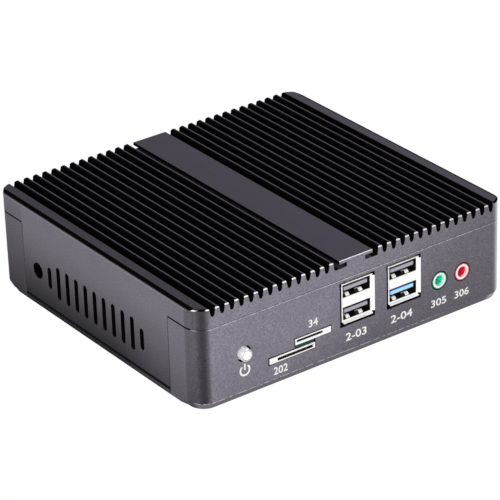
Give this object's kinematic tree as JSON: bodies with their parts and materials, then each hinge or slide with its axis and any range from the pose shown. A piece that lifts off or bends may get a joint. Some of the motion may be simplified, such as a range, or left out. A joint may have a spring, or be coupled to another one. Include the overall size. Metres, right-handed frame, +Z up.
{
  "type": "fanless industrial pc",
  "caption": "Small fanless computer in a dark finned aluminium case with vented sides, a sprung power button and card, data, sound, power, display and network sockets.",
  "frame": {"origin": "middle of the whole object in plan, on the surface the rubber feet stand on", "axes": "+X along the port face, -Y is the front with ports and button, +Z up"},
  "size_m": [0.135, 0.1316, 0.0395],
  "materials": {
    "case_aluminium": "dark grey anodised, fine blasted grain",
    "bare_aluminium": "plain milled",
    "bright_steel": "bright tin plate",
    "screw_steel": "dark plated",
    "brass": "plain turned",
    "rubber": "matt black",
    "board": "green solder mask",
    "black_plastic": "moulded, matt",
    "grey_plastic": "moulded, matt",
    "blue_plastic": "moulded, light blue",
    "green_plastic": "moulded, light green",
    "pink_plastic": "moulded, pink red",
    "white_plastic": "moulded, white",
    "button_metal": "satin turned",
    "lens": "frosted, glossy",
    "soft_pad": "soft grey blue",
    "gold_pin": "plated pin"
  },
  "bodies": {
    "housing": {"heatsink_cover": "case_aluminium", "base_shell": "case_aluminium", "rubber_feet": "rubber", "cover_screws": "screw_steel", "main_board": "board", "board_standoffs": "brass", "board_screws": "bright_steel", "button_switch": "black_plastic", "sim_holder": "bright_steel", "tf_holder": "bright_steel", "usb_shell_1": "bright_steel", "usb_shell_2": "bright_steel", "usb_insert_1_lower": "grey_plastic", "usb_insert_1_upper": "grey_plastic", "usb_insert_2_lower": "blue_plastic", "usb_insert_2_upper": "grey_plastic", "sound_socket_out": "green_plastic", "sound_socket_mic": "pink_plastic", "sound_collar_out": "bright_steel", "sound_collar_mic": "bright_steel", "dc_inlet": "black_plastic", "dc_pin": "gold_pin", "hdmi_shell": "bright_steel", "hdmi_insert": "black_plastic", "vga_shell": "bright_steel", "vga_insert": "blue_plastic", "vga_screws": "bright_steel", "lan_shell_1": "bright_steel", "lan_shell_2": "bright_steel", "lan_insert_1": "black_plastic", "lan_insert_2": "black_plastic", "processor": "black_plastic", "thermal_pad": "soft_pad", "heat_block": "bare_aluminium", "memory_module": "board", "memory_socket": "black_plastic", "ssd_module": "board", "ssd_socket": "black_plastic", "ssd_posts": "brass", "cell_holder": "black_plastic", "coin_cell": "bright_steel", "chokes": "grey_plastic", "capacitors": "bare_aluminium"},
    "power_button": {"button_cap": "button_metal", "button_lens": "lens", "button_plunger": "white_plastic"}
  },
  "joints": [
    {"name": "power_button", "type": "slide", "parent": "housing", "child": "power_button", "axis": [0, 1, 0], "range_m": [0, 0.001], "stiffness_N_per_m": 400, "springref_m": -0.004}
  ]
}
